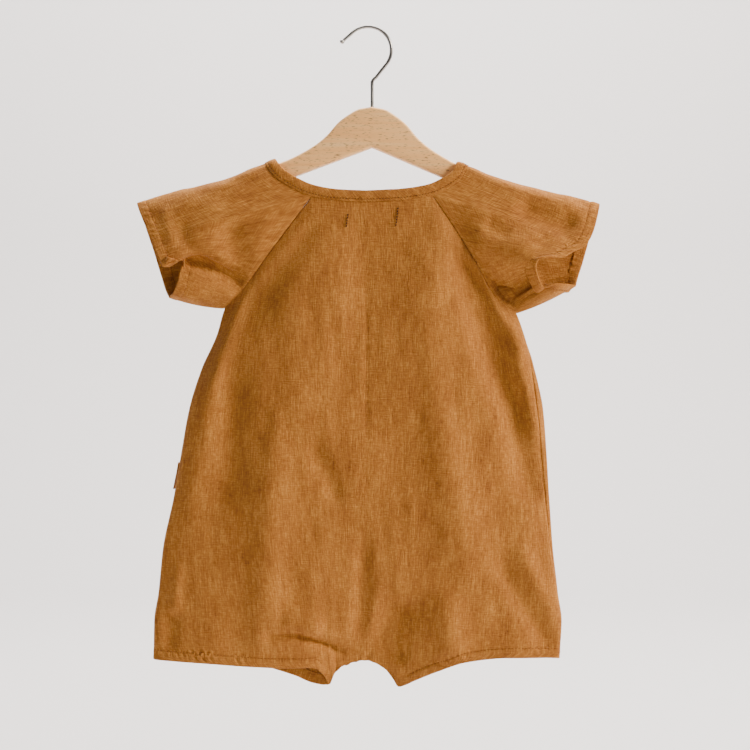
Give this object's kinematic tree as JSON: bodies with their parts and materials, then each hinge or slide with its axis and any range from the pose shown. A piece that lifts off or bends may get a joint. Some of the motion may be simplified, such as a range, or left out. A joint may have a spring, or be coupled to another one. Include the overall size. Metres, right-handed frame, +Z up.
{
  "type": "baby romper on hanger",
  "caption": "Short linen baby romper with raglan sleeves and a buttoned front, hanging open on a small wooden hanger with a wire hook.",
  "frame": {"origin": "the point on the underside of the hook's bend that rests on a rail or a nail, on the hook's centre line", "axes": "+Z up; the back of the garment faces -Y and the buttoned front +Y; the wearer's left sleeve is at -X"},
  "size_m": [0.3919, 0.0445, 0.5623],
  "materials": {
    "ochre_linen": "matte woven linen",
    "button": "semi-matt",
    "beech": "satin lacquer",
    "steel_wire": "nickel-plated wire"
  },
  "bodies": {
    "root": {"back_panel": "ochre_linen", "front_left": "ochre_linen", "front_right": "ochre_linen", "sleeve_left": "ochre_linen", "sleeve_right": "ochre_linen", "neck_binding": "ochre_linen", "side_tab": "ochre_linen", "button_1": "button", "button_2": "button", "button_3": "button", "button_4": "button", "button_5": "button", "button_6": "button", "hanger_wood": "beech", "hanger_hook": "steel_wire"}
  },
  "joints": []
}
